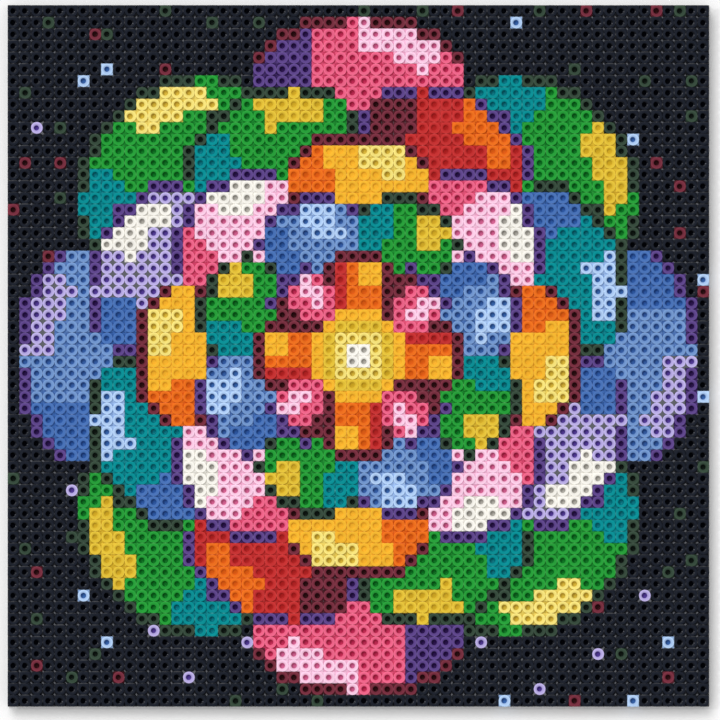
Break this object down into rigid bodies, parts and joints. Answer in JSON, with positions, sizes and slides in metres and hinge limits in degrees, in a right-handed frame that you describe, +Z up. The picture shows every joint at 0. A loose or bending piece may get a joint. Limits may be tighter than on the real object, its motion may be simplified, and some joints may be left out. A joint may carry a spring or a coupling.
{
  "type": "tube bead mosaic panel",
  "caption": "Square mosaic picture of short plastic tube beads, standing side by side on the pegs of interlocking square pegboards; the bead sheet lifts off its pegs.",
  "frame": {"origin": "middle of the underside of the four joined pegboards, where the panel lies on a table", "axes": "+Z is up, out of the picture's face; +Y is towards the picture's top edge; +X is to the right as the picture is seen"},
  "size_m": [0.3, 0.3, 0.0068],
  "materials": {
    "board": "moulded polystyrene, dark charcoal, glossy",
    "black_bead": "extruded polyethylene, semi-gloss, lightly ironed on top",
    "dark_green_bead": "extruded polyethylene, semi-gloss, lightly ironed on top",
    "wine_bead": "extruded polyethylene, semi-gloss, lightly ironed on top",
    "red_bead": "extruded polyethylene, semi-gloss, lightly ironed on top",
    "orange_bead": "extruded polyethylene, semi-gloss, lightly ironed on top",
    "amber_bead": "extruded polyethylene, semi-gloss, lightly ironed on top",
    "yellow_bead": "extruded polyethylene, semi-gloss, lightly ironed on top",
    "cream_bead": "extruded polyethylene, semi-gloss, lightly ironed on top",
    "green_bead": "extruded polyethylene, semi-gloss, lightly ironed on top",
    "teal_bead": "extruded polyethylene, semi-gloss, lightly ironed on top",
    "blue_bead": "extruded polyethylene, semi-gloss, lightly ironed on top",
    "sky_bead": "extruded polyethylene, semi-gloss, lightly ironed on top",
    "pale_blue_bead": "extruded polyethylene, semi-gloss, lightly ironed on top",
    "purple_bead": "extruded polyethylene, semi-gloss, lightly ironed on top",
    "lilac_bead": "extruded polyethylene, semi-gloss, lightly ironed on top",
    "rose_bead": "extruded polyethylene, semi-gloss, lightly ironed on top",
    "blush_bead": "extruded polyethylene, semi-gloss, lightly ironed on top",
    "white_bead": "extruded polyethylene, semi-gloss, lightly ironed on top"
  },
  "bodies": {
    "boards": {"pegboard_front_left": "board", "pegboard_front_right": "board", "pegboard_back_right": "board", "pegboard_back_left": "board"},
    "picture": {"ground_beads_front_left": "black_bead", "ground_beads_front_right": "black_bead", "ground_beads_back_right": "black_bead", "ground_beads_back_left": "black_bead", "corner_beads": "black_bead", "dark_green_beads": "dark_green_bead", "wine_beads": "wine_bead", "red_beads": "red_bead", "orange_beads": "orange_bead", "amber_beads": "amber_bead", "yellow_beads": "yellow_bead", "cream_beads": "cream_bead", "green_beads": "green_bead", "teal_beads": "teal_bead", "blue_beads": "blue_bead", "sky_beads": "sky_bead", "pale_blue_beads": "pale_blue_bead", "purple_beads": "purple_bead", "lilac_beads": "lilac_bead", "rose_beads": "rose_bead", "blush_beads": "blush_bead", "white_beads": "white_bead"}
  },
  "joints": [
    {"name": "picture_lift", "type": "slide", "parent": "boards", "child": "picture", "axis": [0, 0, 1], "range_m": [0, 0.02]}
  ]
}
